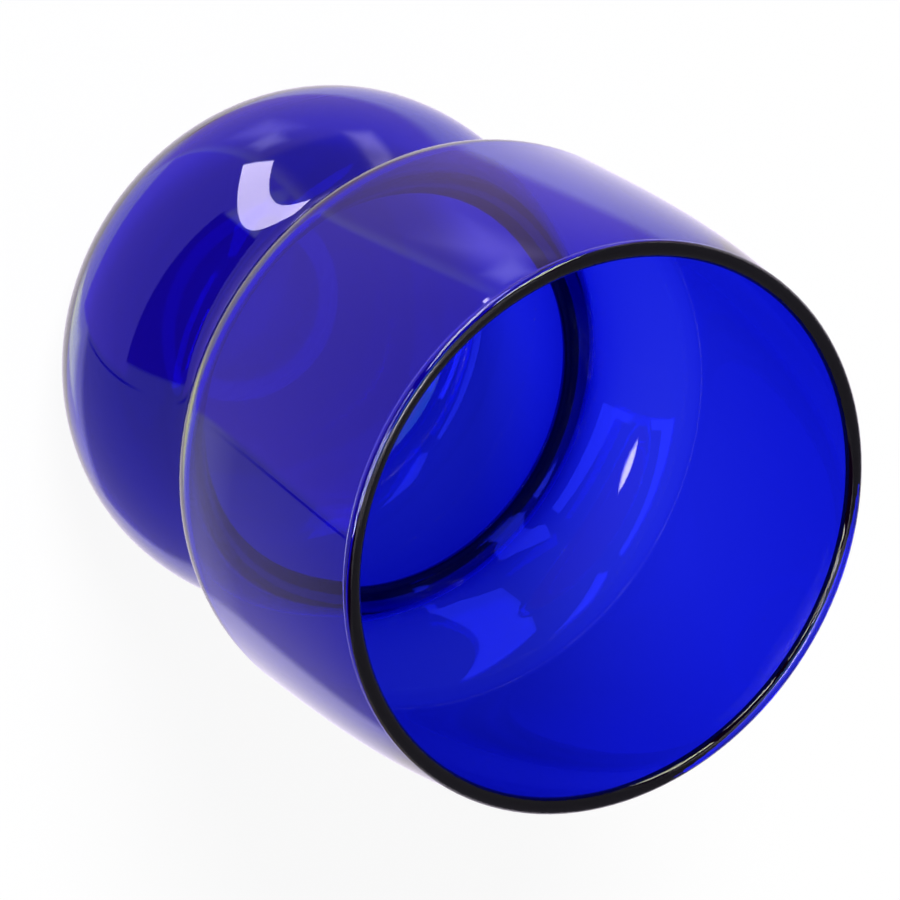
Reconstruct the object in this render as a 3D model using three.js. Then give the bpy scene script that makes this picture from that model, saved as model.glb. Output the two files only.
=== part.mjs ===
// A blown tumbler of cobalt-blue glass: a barrel-shaped bowl over a round bulb, with a waist between them.
// It is one wall of glass round one hollow. The wall is given here in its two bubbles, the bowl and the foot
// bulb, which meet face to face on the flat ring where the waist is narrowest.
// Millimetres, +Z up, the origin on the table under the middle of the foot.

import * as THREE from "three";

// The outside
const height = 101.5; // table to the top of the rim
const rimRadius = 41; // outside of the rim bead
const bowlRadius = 42.85; // where the side of the bowl stands upright
const bowlUprightHeight = 59.9;
const waistRadius = 33; // bottom of the groove between the two bubbles
const waistHeight = 41.7;
const bulbRadius = 38.9; // widest part of the bulb
const bulbWidestHeight = 20.55;
const footRadius = 15; // outer edge of the flat ring that it stands on
const kickRadius = 11.5; // inner edge of that ring, where the hollow pushed up under the base begins
const kickHeight = 1.2; // depth of that hollow

// The glass
const bowlWall = 1.75;
const rimWall = 2; // just below the bead
const beadLip = 0.35; // how far the bead stands out past the wall below it
const waistWall = 3.7; // the glass gathers at the pinch
const gatherReach = 2; // height above or below the waist at which half of the gathered glass is left
const bulbWall = 1.85;
const baseWall = 2.6; // over the middle of the hollow under the base
const floorRadius = 13; // flat middle of the floor inside

// How far each curve runs straight on from its end before it bends, as a share of the height or width
// that it spans
const rimPull = 0.32;
const bowlUpPull = 0.158;
const bowlDownPull = 0.43;
const waistUpPull = 0.45;
const waistDownPull = 0.155;
const bulbUpPull = 0.542;
const bulbDownPull = 0.85;
const footPull = 0.373;
const innerBulbDownPull = 0.95;
const floorPull = 0.45;
const rimLean = THREE.MathUtils.degToRad(13); // how far the wall leans inwards as it reaches the rim

// How finely the curves are cut
const segments = 64; // round the axis
const steps = 6; // along each curve of the profile
const sideSteps = 7; // along each of the two curves that meet at the waist
const waistCrowding = 1.5; // above 1, those steps are shorter towards the waist

// Thickness of a wall at a height: its own, and more towards the waist, where the glass gathers
function thickness(wall, atHeight) {
  const rise = (atHeight - waistHeight) / gatherReach;
  return wall + (waistWall - wall) / (1 + rise * rise);
}

// The bead is round. The inner wall runs into it, and the outer wall meets it below its lip.
const beadRadius = (rimWall + beadLip) / 2;
const beadCentre = new THREE.Vector2(rimRadius - beadRadius, height - beadRadius);
const lipAngle = Math.acos((rimWall - beadRadius) / beadRadius);

// The places where one curve of the wall runs into the next, as radius and height
const outerRim = new THREE.Vector2(
  beadCentre.x + beadRadius * Math.cos(lipAngle),
  beadCentre.y - beadRadius * Math.sin(lipAngle),
);
const innerRim = new THREE.Vector2(
  beadCentre.x - beadRadius * Math.cos(rimLean),
  beadCentre.y - beadRadius * Math.sin(rimLean),
);
const outerBowl = new THREE.Vector2(bowlRadius, bowlUprightHeight);
const innerBowl = new THREE.Vector2(bowlRadius - thickness(bowlWall, bowlUprightHeight), bowlUprightHeight);
const outerWaist = new THREE.Vector2(waistRadius, waistHeight);
const outerBulb = new THREE.Vector2(bulbRadius, bulbWidestHeight);
const innerBulb = new THREE.Vector2(bulbRadius - thickness(bulbWall, bulbWidestHeight), bulbWidestHeight);
const footEdge = new THREE.Vector2(footRadius, 0);
const floorEdge = new THREE.Vector2(floorRadius, kickHeight + baseWall);

// The curve from one place to the next. At each end it is pulled straight on by that end's offset.
function wallCurve(from, fromPull, to, toPull) {
  return new THREE.CubicBezierCurve(from, from.clone().add(fromPull), to.clone().add(toPull), to);
}

// Between two places where the wall stands upright
function uprightCurve(low, lowPull, high, highPull) {
  const rise = high.y - low.y;
  return wallCurve(
    low,
    new THREE.Vector2(0, lowPull * rise),
    high,
    new THREE.Vector2(0, -highPull * rise),
  );
}

// From the upright side of the bowl to the rim, where the wall leans inwards
function rimCurve(side, rim) {
  const rise = rim.y - side.y;
  const lean = new THREE.Vector2(Math.sin(rimLean), -Math.cos(rimLean));
  return wallCurve(
    side,
    new THREE.Vector2(0, bowlUpPull * rise),
    rim,
    lean.multiplyScalar(rimPull * rise),
  );
}

// From the level edge of the foot or floor to the upright side of the bulb
function baseCurve(edge, edgePull, side, sidePull) {
  return wallCurve(
    edge,
    new THREE.Vector2(edgePull * (side.x - edge.x), 0),
    side,
    new THREE.Vector2(0, -sidePull * (side.y - edge.y)),
  );
}

const upwards = (curve) => curve.getPoints(steps);
const downwards = (curve) => upwards(curve).reverse();

// The two sides that meet at the waist, and the shares of their way where they are cut
const lowerSide = uprightCurve(outerBulb, bulbUpPull, outerWaist, waistDownPull);
const upperSide = uprightCurve(outerWaist, waistUpPull, outerBowl, bowlDownPull);
const upperShares = Array.from({ length: sideSteps + 1 }, (_, i) => (i / sideSteps) ** waistCrowding);
const lowerShares = upperShares.map((share) => 1 - share).reverse();

const outerFace = (side, shares) => shares.map((share) => side.getPoint(share));

// The direction of a side at a share of its way
function direction(side, share) {
  const nearStart = side.v1.clone().sub(side.v0).multiplyScalar((1 - share) ** 2);
  const between = side.v2.clone().sub(side.v1).multiplyScalar(2 * share * (1 - share));
  const nearEnd = side.v3.clone().sub(side.v2).multiplyScalar(share ** 2);
  return nearStart.add(between).add(nearEnd).normalize();
}

// The inner face of a side, downwards: each point is as far in from the outer face as the wall is thick.
function innerFace(side, shares, wall) {
  const points = shares.map((share) => {
    const point = side.getPoint(share);
    const along = direction(side, share);
    const depth = thickness(wall, point.y);
    return new THREE.Vector2(point.x - depth * along.y, point.y + depth * along.x);
  });
  return points.reverse();
}

// Joins runs of points end to end, leaving out each point that repeats the one before it.
function joined(...runs) {
  return runs.flat().filter((point, i, all) => i === 0 || point.distanceTo(all[i - 1]) > 1e-6);
}

// The bowl's wall, from the waist up the outside, over the bead and down the inside, closed across the waist
function bowlProfile() {
  const bead = new THREE.EllipseCurve(
    beadCentre.x,
    beadCentre.y,
    beadRadius,
    beadRadius,
    -lipAngle,
    Math.PI + rimLean,
  );
  return joined(
    outerFace(upperSide, upperShares),
    upwards(rimCurve(outerBowl, outerRim)),
    bead.getPoints(2 * steps),
    downwards(rimCurve(innerBowl, innerRim)),
    innerFace(upperSide, upperShares, bowlWall),
    [outerWaist],
  );
}

// The bulb's wall, from the middle of the underside out to the waist, and down the inside to the floor
function bulbProfile() {
  const kickTop = new THREE.Vector2(0, kickHeight);
  const kickEdge = new THREE.Vector2(kickRadius, 0);
  const kickPull = new THREE.Vector2(kickRadius / 2, kickHeight);
  const kick = new THREE.QuadraticBezierCurve(kickTop, kickPull, kickEdge);
  return joined(
    kick.getPoints(steps),
    upwards(baseCurve(footEdge, footPull, outerBulb, bulbDownPull)),
    outerFace(lowerSide, lowerShares),
    innerFace(lowerSide, lowerShares, bulbWall),
    downwards(baseCurve(floorEdge, floorPull, innerBulb, innerBulbDownPull)),
    [new THREE.Vector2(0, floorEdge.y)],
  );
}

// Turns a profile of radius and height about the upright axis.
function turned(name, profile, colour) {
  const geometry = new THREE.LatheGeometry(profile, segments);
  geometry.rotateX(Math.PI / 2);
  const glass = new THREE.MeshStandardMaterial({
    color: colour,
    roughness: 0.04,
    metalness: 0,
    transparent: true,
    opacity: 0.6,
  });
  const mesh = new THREE.Mesh(geometry, glass);
  mesh.name = name;
  return mesh;
}

const tumbler = new THREE.Group();
tumbler.add(turned("bowl", bowlProfile(), 0x2b26bd));
tumbler.add(turned("foot_bulb", bulbProfile(), 0x3122ac));

export default tumbler;
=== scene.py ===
import bpy
import numpy as np
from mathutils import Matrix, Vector


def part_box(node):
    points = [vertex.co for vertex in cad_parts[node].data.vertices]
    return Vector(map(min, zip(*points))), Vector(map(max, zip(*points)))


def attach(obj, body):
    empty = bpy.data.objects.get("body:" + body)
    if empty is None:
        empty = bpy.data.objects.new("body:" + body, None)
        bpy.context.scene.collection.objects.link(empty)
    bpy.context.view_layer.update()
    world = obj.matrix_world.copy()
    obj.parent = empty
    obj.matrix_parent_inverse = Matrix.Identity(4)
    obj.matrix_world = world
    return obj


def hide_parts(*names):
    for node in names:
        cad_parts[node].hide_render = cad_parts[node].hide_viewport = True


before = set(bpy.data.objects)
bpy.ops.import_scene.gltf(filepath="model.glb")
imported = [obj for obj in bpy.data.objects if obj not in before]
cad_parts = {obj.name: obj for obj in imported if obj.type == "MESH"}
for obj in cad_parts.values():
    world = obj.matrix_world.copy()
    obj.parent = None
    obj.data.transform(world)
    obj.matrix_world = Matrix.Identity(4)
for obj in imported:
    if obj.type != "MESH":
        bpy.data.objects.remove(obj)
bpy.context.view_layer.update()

# The camera looks down into the mouth from in front, through a long lens.
# It is rolled to one side, so that the upright glass leans across a square picture and fills most of it.
look_at = np.array([0.00219, 0.0, 0.06066])
look_along = np.array([0.0, 0.6009, -0.7993])
picture_down = np.array([0.8458, 0.4264, 0.3206])
camera_distance = 0.82
sensor_width = 36.0
focal_length = 233.98

look_along /= np.linalg.norm(look_along)
picture_right = np.cross(picture_down, look_along)
picture_right /= np.linalg.norm(picture_right)
picture_up = np.cross(picture_right, look_along)

lens = bpy.data.cameras.new("camera")
lens.lens = focal_length
lens.sensor_width = sensor_width
lens.clip_start = 0.01
lens.clip_end = 50.0
camera = bpy.data.objects.new("camera", lens)
bpy.context.scene.collection.objects.link(camera)
placing = np.eye(4)
placing[:3, 0] = picture_right
placing[:3, 1] = picture_up
placing[:3, 2] = -look_along
placing[:3, 3] = look_at - camera_distance * look_along
camera.matrix_world = placing.T.tolist()
bpy.context.scene.camera = camera

# The tumbler: one blown wall of cobalt glass round one hollow, a barrel-shaped bowl over a round bulb foot.
# Its glass gathers thickly at the pinch between them, and the rim is melted back into a round bead.
# It is turned from one outline of radius and height, in metres.
height = float(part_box("bowl")[1][2])
waist_height = float(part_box("bowl")[0][2])
rim_radius = 0.0410
bowl_radius = 0.0428
bowl_upright_height = 0.0599
waist_radius = 0.0330
bulb_radius = 0.0389
bulb_widest_height = 0.02055
foot_radius = 0.0150
kick_radius = 0.0115
kick_height = 0.0012
bowl_wall = 0.00175
rim_wall = 0.0020
bead_lip = 0.00035
waist_wall = 0.0037
gather_reach = 0.0020
bulb_wall = 0.00185
base_wall = 0.0026
floor_radius = 0.0130
rim_lean = np.radians(13.0)

# How far each curve runs straight on from its end before it bends, as a share of what it spans
kick_top_pull = 0.5
kick_edge_pull = 0.15
foot_pull = 0.373
bulb_down_pull = 0.85
bulb_up_pull = 0.542
waist_down_pull = 0.155
waist_up_pull = 0.45
bowl_down_pull = 0.43
bowl_up_pull = 0.158
rim_pull = 0.32
floor_pull = 0.45
inner_bulb_down_pull = 0.95


def curve(start, start_pull, end_pull, end, count=60):
    """Points on a cubic curve from start to end: each end's own weight is the cube of the share left to it,
    and each pull's weight is three times its own share squared times the other share."""
    t = np.linspace(0.0, 1.0, count)[:, None]
    first, second, third, fourth = np.array([start, start_pull, end_pull, end], float)
    leaving = (1 - t) ** 3 * first + 3 * (1 - t) ** 2 * t * second
    arriving = 3 * (1 - t) * t**2 * third + t**3 * fourth
    return leaving + arriving


def side_curve(low, low_pull, high, high_pull):
    """The curve between two places where the wall stands upright: each end's pull is that share of the rise,
    straight up or down."""
    rise = high[1] - low[1]
    low_end = (low[0], low[1] + low_pull * rise)
    high_end = (high[0], high[1] - high_pull * rise)
    return curve(low, low_end, high_end, high, count=240)


def base_curve(edge, edge_pull, side, side_pull):
    """The curve from the edge of a level floor to an upright side: the edge's pull is a share of the way
    across, straight out, and the side's pull is a share of the rise, straight down."""
    across = side[0] - edge[0]
    rise = side[1] - edge[1]
    edge_end = (edge[0] + edge_pull * across, edge[1])
    side_end = (side[0], side[1] - side_pull * rise)
    return curve(edge, edge_end, side_end, side)


def rim_curve(side, rim):
    """The curve from the bowl's upright side to the rim: the side's pull goes straight up, and the rim's
    goes down and outwards along the lean. Both are shares of the rise."""
    rise = rim[1] - side[1]
    side_end = (side[0], side[1] + bowl_up_pull * rise)
    down_the_lean = rim_pull * rise
    rim_end = (rim[0] + down_the_lean * np.sin(rim_lean), rim[1] - down_the_lean * np.cos(rim_lean))
    return curve(side, side_end, rim_end, rim)


def thickness(wall, at_height):
    """The wall's own thickness, plus the extra glass of the pinch divided by one plus the square of the rise
    from it, where the rise is counted in reaches."""
    rise = (at_height - waist_height) / gather_reach
    return wall + (waist_wall - wall) / (1 + rise**2)


def inner_face(side, wall):
    """The side moved squarely inwards by the wall's thickness at each height, downwards."""
    along = np.gradient(side, axis=0)
    along /= np.linalg.norm(along, axis=1)[:, None]
    inwards = np.stack([-along[:, 1], along[:, 0]], axis=1)
    return (side + inwards * thickness(wall, side[:, 1])[:, None])[::-1]


def crowded(outline, longest, sharpest):
    """The outline cut afresh, with its points closer where it bends: every step has the same sum of its
    length over the longest step and its turning over the sharpest turn."""
    steps = np.diff(outline, axis=0)
    lengths = np.linalg.norm(steps, axis=1)
    outline = outline[np.concatenate([[True], lengths > 1e-9])]
    steps = np.diff(outline, axis=0)
    heading = np.unwrap(np.arctan2(steps[:, 1], steps[:, 0]))
    effort = np.linalg.norm(steps, axis=1) / longest + np.abs(np.gradient(heading)) / sharpest
    spent = np.concatenate([[0.0], np.cumsum(effort)])
    even = np.linspace(0.0, spent[-1], int(spent[-1]) + 1)
    return np.stack([np.interp(even, spent, outline[:, k]) for k in (0, 1)], axis=1)


bead_radius = (rim_wall + bead_lip) / 2
bead_centre = np.array([rim_radius - bead_radius, height - bead_radius])
lip_angle = np.arccos((rim_wall - bead_radius) / bead_radius)
outer_rim = bead_centre + bead_radius * np.array([np.cos(lip_angle), -np.sin(lip_angle)])
inner_rim = bead_centre - bead_radius * np.array([np.cos(rim_lean), np.sin(rim_lean)])
bead_cuts = 160
bead_turn = np.linspace(-lip_angle, np.pi + rim_lean, bead_cuts)[:, None]
bead = bead_centre + bead_radius * np.hstack([np.cos(bead_turn), np.sin(bead_turn)])

kick_top = (0.0, kick_height)
kick_top_end = (kick_top_pull * kick_radius, kick_height)
kick_edge_end = ((1 - kick_edge_pull) * kick_radius, 0.0)
outer_bulb = (bulb_radius, bulb_widest_height)
inner_bulb = (bulb_radius - thickness(bulb_wall, bulb_widest_height), bulb_widest_height)
waist = (waist_radius, waist_height)
outer_bowl = (bowl_radius, bowl_upright_height)
inner_bowl = (bowl_radius - thickness(bowl_wall, bowl_upright_height), bowl_upright_height)
floor_height = kick_height + base_wall
lower_side = side_curve(outer_bulb, bulb_up_pull, waist, waist_down_pull)
upper_side = side_curve(waist, waist_up_pull, outer_bowl, bowl_down_pull)
outline = np.concatenate([
    curve(kick_top, kick_top_end, kick_edge_end, (kick_radius, 0.0)),
    base_curve((foot_radius, 0.0), foot_pull, outer_bulb, bulb_down_pull),
    lower_side,
    upper_side,
    rim_curve(outer_bowl, outer_rim),
    bead,
    rim_curve(inner_bowl, inner_rim)[::-1],
    inner_face(upper_side, bowl_wall),
    inner_face(lower_side, bulb_wall),
    base_curve((floor_radius, floor_height), floor_pull, inner_bulb, inner_bulb_down_pull)[::-1],
    [(0.0, floor_height)],
])
outline = crowded(outline, longest=0.0011, sharpest=np.radians(3.0))

around = 128
turn = np.arange(around) * 2 * np.pi / around
rings = outline[1:-1]
ring_points = np.stack([
    rings[:, :1] * np.cos(turn),
    rings[:, :1] * np.sin(turn),
    np.repeat(rings[:, 1:], around, axis=1),
], axis=2)
poles = [[0.0, 0.0, outline[0, 1]], [0.0, 0.0, outline[-1, 1]]]
points = np.concatenate([ring_points.reshape(-1, 3), poles])
ring, place = np.meshgrid(np.arange(len(rings) - 1), np.arange(around), indexing="ij")
next_place = (place + 1) % around
walls = np.stack([
    ring * around + place,
    ring * around + next_place,
    (ring + 1) * around + next_place,
    (ring + 1) * around + place,
], axis=2).reshape(-1, 4)
under_pole = len(points) - 2
floor_pole = len(points) - 1
last_ring = (len(rings) - 1) * around
step = np.arange(around)
next_step = (step + 1) % around
under_fan = np.stack([np.full(around, under_pole), next_step, step], axis=1)
floor_fan = np.stack([np.full(around, floor_pole), last_ring + step, last_ring + next_step], axis=1)

tumbler_mesh = bpy.data.meshes.new("tumbler")
tumbler_mesh.from_pydata(points.tolist(), [], walls.tolist() + under_fan.tolist() + floor_fan.tolist())
tumbler_mesh.shade_smooth()
tumbler = bpy.data.objects.new("tumbler", tumbler_mesh)
bpy.context.scene.collection.objects.link(tumbler)

glass = bpy.data.materials.new("cobalt_glass")
glass.use_nodes = True
shader = glass.node_tree.nodes["Principled BSDF"]
shader.inputs["Base Color"].default_value = (1.0, 1.0, 1.0, 1.0)
shader.inputs["Roughness"].default_value = 0.0
shader.inputs["IOR"].default_value = 1.5
shader.inputs["Transmission Weight"].default_value = 1.0
depth = glass.node_tree.nodes.new("ShaderNodeVolumeAbsorption")
depth.inputs["Color"].default_value = (0.0, 0.12, 0.937, 1.0)
depth.inputs["Density"].default_value = 2250.0
glass_end = glass.node_tree.nodes["Material Output"]
glass.node_tree.links.new(depth.outputs["Volume"], glass_end.inputs["Volume"])
tumbler_mesh.materials.append(glass)
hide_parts("bowl", "foot_bulb")
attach(tumbler, "root")

# Light passes through up to eight faces of glass and runs round inside the bead and the pinch, so its path
# is followed further than usual.
cycles = bpy.context.scene.cycles
cycles.max_bounces = 40
cycles.transmission_bounces = 40
cycles.glossy_bounces = 16
cycles.diffuse_bounces = 3

# The room: plain white walls. Each colour is that of their white for one kind of ray: what is seen directly
# or through the glass, what the glass mirrors, which is a little lilac, and what lights the floor.
seen_white = (1.0, 1.0, 1.0, 1.0)
mirrored_white = (1.12, 1.03, 1.2, 1.0)
lighting_white = (0.2, 0.2, 0.2, 1.0)

room = bpy.data.worlds.new("room")
room.use_nodes = True
bpy.context.scene.world = room
room_nodes = room.node_tree.nodes
room_links = room.node_tree.links
ray = room_nodes.new("ShaderNodeLightPath")
seen = room_nodes.new("ShaderNodeMath")
seen.operation = "MAXIMUM"
room_links.new(ray.outputs["Is Camera Ray"], seen.inputs[0])
room_links.new(ray.outputs["Is Transmission Ray"], seen.inputs[1])
mirrored = room_nodes.new("ShaderNodeMixRGB")
mirrored.inputs["Color1"].default_value = lighting_white
mirrored.inputs["Color2"].default_value = mirrored_white
room_links.new(ray.outputs["Is Glossy Ray"], mirrored.inputs["Fac"])
white = room_nodes.new("ShaderNodeMixRGB")
white.inputs["Color2"].default_value = seen_white
room_links.new(seen.outputs[0], white.inputs["Fac"])
room_links.new(mirrored.outputs["Color"], white.inputs["Color1"])
room_links.new(white.outputs["Color"], room_nodes["Background"].inputs["Color"])

# The key light: a broad soft lamp far off in front, on the left. It isn't mirrored in the glass. It lights
# the floor, where it gives the glass its shadow, and its share is how much of full white it adds there.
lamp_share = 0.7
lamp_bearing = np.radians(-36.0)
lamp_rise = np.radians(41.0)
lamp_breadth = np.radians(20.0)
towards_lamp = Vector((
    np.cos(lamp_rise) * np.sin(lamp_bearing),
    -np.cos(lamp_rise) * np.cos(lamp_bearing),
    np.sin(lamp_rise),
))
key = bpy.data.lights.new("key_light", "SUN")
key.energy = lamp_share * np.pi / np.sin(lamp_rise)
key.angle = lamp_breadth
key_light = bpy.data.objects.new("key_light", key)
key_light.rotation_euler = towards_lamp.to_track_quat("Z", "Y").to_euler()
bpy.context.scene.collection.objects.link(key_light)
key_light.visible_camera = False
key_light.visible_glossy = False
key_light.visible_transmission = False

# The floor: a plain white sheet under the foot, wide enough to reach past every view.
# What is seen of it is white with a share of its real shading, so that the glass keeps its shadow.
# The glass doesn't mirror it: the cards below stand for what is mirrored under the horizon.
floor_reach = 12.0
floor_colour = 0.8
direct_shading = 0.1
shading_through_glass = 0.75

floor_mesh = bpy.data.meshes.new("floor")
floor_corners = [
    (-floor_reach, -floor_reach, 0),
    (floor_reach, -floor_reach, 0),
    (floor_reach, floor_reach, 0),
    (-floor_reach, floor_reach, 0),
]
floor_mesh.from_pydata(floor_corners, [], [(0, 1, 2, 3)])
floor = bpy.data.objects.new("floor", floor_mesh)
bpy.context.scene.collection.objects.link(floor)
floor.visible_glossy = False
sheet = bpy.data.materials.new("white_sheet")
sheet.use_nodes = True
sheet_nodes = sheet.node_tree.nodes
sheet_links = sheet.node_tree.links
sheet_nodes.remove(sheet_nodes["Principled BSDF"])
lit = sheet_nodes.new("ShaderNodeBsdfDiffuse")
lit.inputs["Color"].default_value = (floor_colour, floor_colour, floor_colour, 1.0)
sheet_ray = sheet_nodes.new("ShaderNodeLightPath")


def whitened(share, ray_kind, otherwise):
    """For one kind of ray, the sheet as a share of its real shading and the rest as much glow as makes the
    unshaded sheet white. For other rays, what is given."""
    unshaded = floor_colour * (lighting_white[0] + lamp_share)
    lift = sheet_nodes.new("ShaderNodeEmission")
    lift.inputs["Strength"].default_value = (1.0 - share * unshaded) / (1 - share)
    blend = sheet_nodes.new("ShaderNodeMixShader")
    blend.inputs["Fac"].default_value = share
    sheet_links.new(lift.outputs["Emission"], blend.inputs[1])
    sheet_links.new(lit.outputs["BSDF"], blend.inputs[2])
    by_ray = sheet_nodes.new("ShaderNodeMixShader")
    sheet_links.new(sheet_ray.outputs[ray_kind], by_ray.inputs["Fac"])
    sheet_links.new(otherwise, by_ray.inputs[1])
    sheet_links.new(blend.outputs["Shader"], by_ray.inputs[2])
    return by_ray.outputs["Shader"]


through_glass = whitened(shading_through_glass, "Is Transmission Ray", lit.outputs["BSDF"])
direct = whitened(direct_shading, "Is Camera Ray", through_glass)
sheet_links.new(direct, sheet_nodes["Material Output"].inputs["Surface"])
floor_mesh.materials.append(sheet)


# The cards: boards and soft boxes that stand round the glass for it to mirror, as they do when glass is
# photographed. Each is bent round the glass and is seen in it alone, so it neither lights the floor nor
# shows. Each glows: its colour is painted light or shade, what the glass mirrors from there.
# Their corners are where the edges of the highlights in the glass point to.
card_centre = np.array([0.0, 0.0, 0.05])
card_cuts = 41
no_limit = 100


def at_most(nodes, links, bounces, most):
    """One where the ray has bounced at most so many times, and zero where it has bounced more."""
    test = nodes.new("ShaderNodeMath")
    test.operation = "LESS_THAN"
    test.inputs[1].default_value = most + 0.5
    links.new(bounces, test.inputs[0])
    return test.outputs["Value"]


def product(nodes, links, first, second):
    """The first number times the second."""
    times = nodes.new("ShaderNodeMath")
    times.operation = "MULTIPLY"
    links.new(first, times.inputs[0])
    links.new(second, times.inputs[1])
    return times.outputs["Value"]


def card(name, corners, distance, colour, softness, seen_through=False):
    """A board whose points blend the bearings and heights of its four corners, in degrees from the middle
    of the glass, and lie at one distance from there. Bearing 0 is in front, 90 on the right. It fades out
    over its softness, a share of its width and height. One that is seen through the glass is mirrored in it
    only once."""
    share = np.linspace(0.0, 1.0, card_cuts)
    across, up = np.meshgrid(share, share, indexing="ij")
    weights = np.stack([
        (1 - across) * (1 - up),
        across * (1 - up),
        across * up,
        (1 - across) * up,
    ], axis=-1)
    bearing, rise = np.moveaxis(np.radians(weights @ np.array(corners, float)), -1, 0)
    outwards = np.stack([
        np.cos(rise) * np.sin(bearing),
        -np.cos(rise) * np.cos(bearing),
        np.sin(rise),
    ], axis=-1)
    places = card_centre + outwards * distance
    row, column = np.meshgrid(np.arange(card_cuts - 1), np.arange(card_cuts - 1), indexing="ij")
    start = row * card_cuts + column
    faces = np.stack([start, start + card_cuts, start + card_cuts + 1, start + 1], axis=-1)
    mesh = bpy.data.meshes.new(name)
    mesh.from_pydata(places.reshape(-1, 3).tolist(), [], faces.reshape(-1, 4).tolist())

    from_edge = np.minimum(np.minimum(across, 1 - across), np.minimum(up, 1 - up))
    risen = np.clip(from_edge / softness, 0.0, 1.0)
    fade = mesh.attributes.new("fade", "FLOAT", "POINT")
    fade.data.foreach_set("value", (risen**2 * (3 - 2 * risen)).reshape(-1).astype(np.float32))

    paint = bpy.data.materials.new(name)
    paint.use_nodes = True
    paint.cycles.emission_sampling = "NONE"
    nodes = paint.node_tree.nodes
    links = paint.node_tree.links
    nodes.remove(nodes["Principled BSDF"])
    glow = nodes.new("ShaderNodeEmission")
    glow.inputs["Color"].default_value = (*colour, 1.0)
    clear = nodes.new("ShaderNodeBsdfTransparent")
    amount = nodes.new("ShaderNodeAttribute")
    amount.attribute_name = "fade"
    path = nodes.new("ShaderNodeLightPath")
    off_the_floor = at_most(nodes, links, path.outputs["Diffuse Depth"], 0)
    mirrorings = 1 if seen_through else no_limit
    few_mirrorings = at_most(nodes, links, path.outputs["Glossy Depth"], mirrorings)
    allowed = product(nodes, links, off_the_floor, few_mirrorings)
    faded = nodes.new("ShaderNodeMixShader")
    links.new(product(nodes, links, amount.outputs["Fac"], allowed), faded.inputs["Fac"])
    links.new(clear.outputs["BSDF"], faded.inputs[1])
    links.new(glow.outputs["Emission"], faded.inputs[2])
    links.new(faded.outputs["Shader"], nodes["Material Output"].inputs["Surface"])
    mesh.materials.append(paint)

    board = bpy.data.objects.new(name, mesh)
    bpy.context.scene.collection.objects.link(board)
    board.visible_camera = False
    board.visible_diffuse = False
    board.visible_shadow = False
    board.visible_volume_scatter = False
    board.visible_transmission = seen_through


def upright_card(name, bearings, heights, distance, colour, softness):
    """A card whose sides run straight up and down between two bearings and two heights."""
    left, right = bearings
    low, high = heights
    card(name, [(left, low), (right, low), (right, high), (left, high)], distance, colour, softness)


def soft_box(name, corners, distance, colour, softness):
    """A bright card that is seen through the glass too."""
    card(name, corners, distance, colour, softness, seen_through=True)


# Far off, the dark side of the room in front and behind, and a blue glow over the front
upright_card("dark_front", (-80, 80), (-6, 50), 30, (0.08, 0.01, 0.12), 0.05)
upright_card("front_glow", (-45, 45), (40, 70), 12, (0.3, 1.0, 3.2), 0.45)
upright_card("dark_behind", (70, 290), (-2, 76), 30, (0.25, 0.23, 0.3), 0.05)

# Under the horizon, in place of the table, glowing cards with the light and shade that the glass would
# mirror from it painted on them: grey at the sides, blue in front, and its dark far edge
upright_card("left_side", (-113, -42), (-80, 0), 2.4, (0.68, 0.48, 0.75), 0.12)
upright_card("right_side", (34, 125), (-57, 0), 2.2, (0.48, 0.40, 0.4), 0.08)
upright_card("edge_glow", (50, 98), (-84, -58), 2.3, (2.4, 2.5, 1.4), 0.3)
card("table_in_front", [(-46, -67), (47, -67), (47, -22), (-46, -8)], 2.0, (0.60, 0.41, 1.6), 0.02)
card("table_edge", [(-24, -14), (42, -24), (42, 0), (-24, 0)], 1.95, (0.13, 0.04, 0.2), 0.02)
# A thin dark stripe of painted shade at the right edge of the table in front
upright_card("seam", (47.5, 49.0), (-58, -12), 1.8, (0.1, 0.05, 0.3), 0.3)

# On the left, a dark patch with three soft glows
upright_card("dark_left", (-80, -46), (-26, 0), 1.9, (0.35, 0.25, 1.0), 0.2)
card("low_glow", [(-66, -40), (-48, -38), (-48, -28), (-62, -26)], 1.7, (2.0, 1.7, 3.0), 0.45)
upright_card("side_glow", (-89, -76), (-27, -13), 1.7, (2.3, 1.9, 3.2), 0.45)
upright_card("left_glow", (-74, -50), (-52, -30), 1.75, (1.4, 1.1, 2.2), 0.5)

# The lamps: one low at the left, five boxes in front and at the left, and one overhead
card("low_box", [(-50, -21), (-42, -28), (-16, 1), (-28, 2)], 1.0, (12.5, 11.0, 15.0), 0.02)
soft_box("front_box", [(-5, 11.3), (45, 13), (45, 26), (-5, 17.5)], 10, (11.0, 11.5, 9.5), 0.02)
soft_box("hook_box", [(10.5, 37.68), (39.5, 34.55), (39.5, 42), (10.5, 44)], 10, (16, 15, 18), 0.01)
soft_box("arm_top", [(41, 13), (45, 13), (45.5, 32.5), (41.5, 32.5)], 10, (11.0, 11.5, 9.5), 0.08)
soft_box("next_box", [(-42, -2), (-28, -8), (-11, 14), (-14, 24)], 10, (10.5, 10.5, 9.5), 0.03)
soft_box("side_box", [(-74, -1), (-43, 22), (-43, 36), (-63, 34)], 10, (10.5, 11.0, 8.5), 0.03)
upright_card("high_box", (-50, 50), (70, 88), 10, (13.0, 12.0, 15.0), 0.35)

bpy.context.scene.view_settings.view_transform = "Standard"
